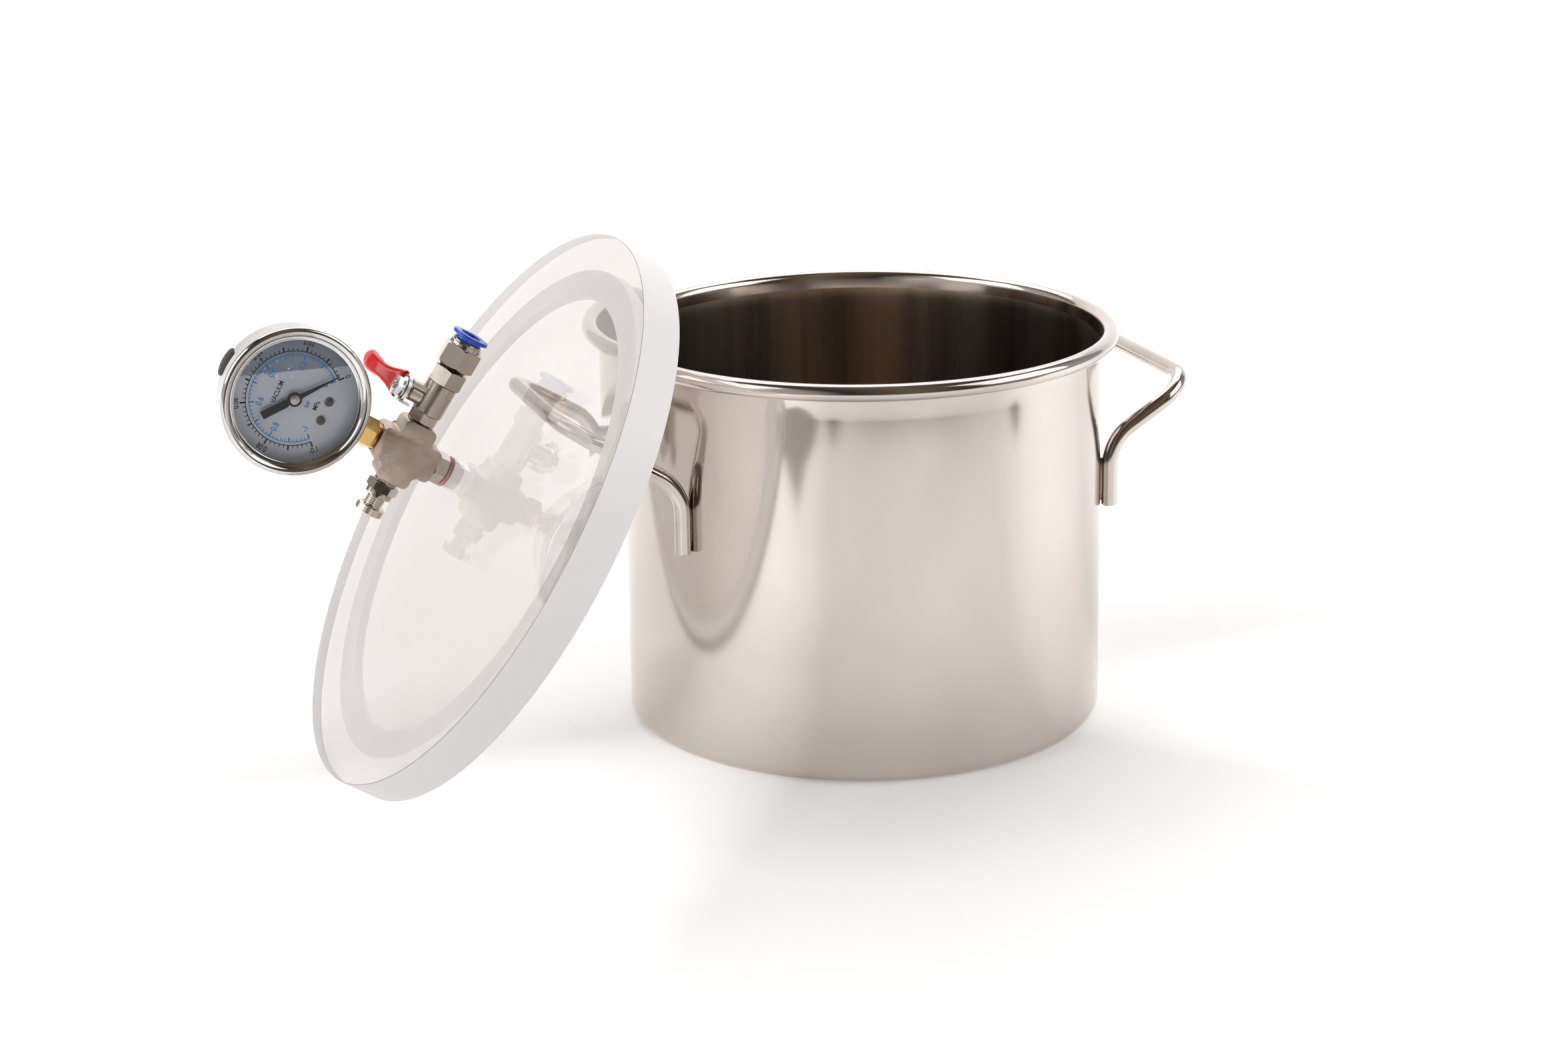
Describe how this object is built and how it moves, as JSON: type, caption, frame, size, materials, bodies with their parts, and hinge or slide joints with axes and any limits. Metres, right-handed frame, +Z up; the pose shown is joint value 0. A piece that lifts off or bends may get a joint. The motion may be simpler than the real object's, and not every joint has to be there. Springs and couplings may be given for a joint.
{
  "type": "vacuum degassing chamber",
  "caption": "Stainless pot with rod handles; thick clear disc lid with gasket, vacuum gauge, ball valve with push-in hose fitting and bleed valve, leaning beside it.",
  "frame": {"origin": "centre of the pot's base, on the surface it stands on", "axes": "+Z up along the pot's axis; +X towards the free handle, -X towards the handle that the lid leans on; -Y towards the side the gauge faces"},
  "size_m": [0.4801, 0.292, 0.2566],
  "materials": {
    "pot_shell": "polished stainless steel",
    "handle_right": "polished stainless steel",
    "handle_left": "polished stainless steel",
    "lid_disc": "clear cast acrylic, polished faces, frosted turned edge",
    "lid_gasket": "translucent white silicone",
    "lid_nipple": "bright nickel plating on brass",
    "nipple_washer": "translucent pink polyurethane",
    "cross_fitting": "matt cast brass, nickel plated",
    "gauge_case": "polished stainless steel",
    "gauge_bezel": "polished stainless steel",
    "gauge_window": "clear polished window",
    "gauge_window_seal": "black moulded rubber",
    "gauge_dial": "white enamelled plate, black and blue scales",
    "dial_screw_left": "dark steel",
    "dial_screw_right": "dark steel",
    "gauge_socket": "machined brass",
    "gauge_fill_plug": "black moulded rubber",
    "bourdon_tube": "drawn bronze tube",
    "movement_back_plate": "machined brass",
    "movement_front_plate": "machined brass",
    "hairspring": "flat bronze strip",
    "valve_body": "bright nickel plating on brass",
    "valve_end_cap": "bright nickel plating on brass",
    "valve_seat_lower": "white PTFE",
    "valve_seat_upper": "white PTFE",
    "pushfit_body": "bright nickel plating on brass",
    "pushfit_thread_ring": "black moulded rubber",
    "pushfit_tube_seal": "black moulded rubber",
    "pushfit_grab_ring": "spring steel",
    "bleed_body": "bright nickel plating on brass",
    "valve_ball": "chromed and polished",
    "valve_stem": "machined brass",
    "valve_lever": "bright zinc plating on steel",
    "lever_sleeve": "dipped red vinyl",
    "lever_nut": "bright zinc plating on steel",
    "pointer": "black paint",
    "pointer_shaft": "machined brass",
    "sector_gear": "machined brass",
    "sector_link": "machined brass",
    "pushfit_collet": "moulded blue acetal",
    "bleed_seal": "black moulded rubber",
    "bleed_screw": "bright nickel plating on brass"
  },
  "bodies": {
    "pot": {"pot_shell": "pot_shell", "handle_right": "handle_right", "handle_left": "handle_left"},
    "lid": {"lid_disc": "lid_disc", "lid_gasket": "lid_gasket", "lid_nipple": "lid_nipple", "nipple_washer": "nipple_washer", "cross_fitting": "cross_fitting", "gauge_case": "gauge_case", "gauge_bezel": "gauge_bezel", "gauge_window": "gauge_window", "gauge_window_seal": "gauge_window_seal", "gauge_dial": "gauge_dial", "dial_screw_left": "dial_screw_left", "dial_screw_right": "dial_screw_right", "gauge_socket": "gauge_socket", "gauge_fill_plug": "gauge_fill_plug", "bourdon_tube": "bourdon_tube", "movement_back_plate": "movement_back_plate", "movement_front_plate": "movement_front_plate", "hairspring": "hairspring", "valve_body": "valve_body", "valve_end_cap": "valve_end_cap", "valve_seat_lower": "valve_seat_lower", "valve_seat_upper": "valve_seat_upper", "pushfit_body": "pushfit_body", "pushfit_thread_ring": "pushfit_thread_ring", "pushfit_tube_seal": "pushfit_tube_seal", "pushfit_grab_ring": "pushfit_grab_ring", "bleed_body": "bleed_body"},
    "valve_turning_group": {"valve_ball": "valve_ball", "valve_stem": "valve_stem", "valve_lever": "valve_lever", "lever_sleeve": "lever_sleeve", "lever_nut": "lever_nut"},
    "gauge_hand": {"pointer": "pointer", "pointer_shaft": "pointer_shaft"},
    "gauge_sector": {"sector_gear": "sector_gear"},
    "gauge_link": {"sector_link": "sector_link"},
    "release_collet": {"pushfit_collet": "pushfit_collet"},
    "bleed_plunger": {"bleed_seal": "bleed_seal"},
    "bleed_knob": {"bleed_screw": "bleed_screw"}
  },
  "joints": [
    {"name": "lid_lift", "type": "slide", "parent": "pot", "child": "lid", "axis": [0, 0, 1], "range_m": [0, 0.3]},
    {"name": "valve_lever_turn", "type": "hinge", "parent": "lid", "child": "valve_turning_group", "pos_m": [-0.21299, 0.03208, 0.17246], "axis": [0.8443, 0, -0.5358], "range_deg": [0, 90]},
    {"name": "gauge_hand_turn", "type": "hinge", "parent": "lid", "child": "gauge_hand", "pos_m": [-0.28282, 0.034, 0.18429], "axis": [0, -1, 0], "range_deg": [0, 265.5], "stiffness_Nm_per_rad": 0.0008},
    {"name": "gauge_sector_turn", "type": "hinge", "parent": "lid", "child": "gauge_sector", "pos_m": [-0.27353, 0.034, 0.1784], "axis": [0, -1, 0], "range_deg": [-38, 1]},
    {"name": "gauge_link_turn", "type": "hinge", "parent": "gauge_sector", "child": "gauge_link", "pos_m": [-0.26721, 0.034, 0.17688], "axis": [0, -1, 0], "range_deg": [-1, 38]},
    {"name": "collet_release", "type": "slide", "parent": "lid", "child": "release_collet", "axis": [-0.5345, 0.0698, -0.8423], "range_m": [0, 0.0015], "stiffness_N_per_m": 800},
    {"name": "bleed_plunger_travel", "type": "slide", "parent": "lid", "child": "bleed_plunger", "axis": [-0.5345, 0.0698, -0.8423], "range_m": [0, 0.0021]},
    {"name": "bleed_knob_turn", "type": "hinge", "parent": "bleed_plunger", "child": "bleed_knob", "pos_m": [-0.24372, 0.03609, 0.12403], "axis": [-0.5345, 0.0698, -0.8423], "range_deg": [0, 720]}
  ],
  "couplings": [
    {"joint": "gauge_sector_turn", "follows": "gauge_hand_turn", "ratio": -0.1399},
    {"joint": "gauge_link_turn", "follows": "gauge_hand_turn", "ratio": 0.1399},
    {"joint": "bleed_plunger_travel", "follows": "bleed_knob_turn", "m_per_rad": 0.00015915}
  ]
}
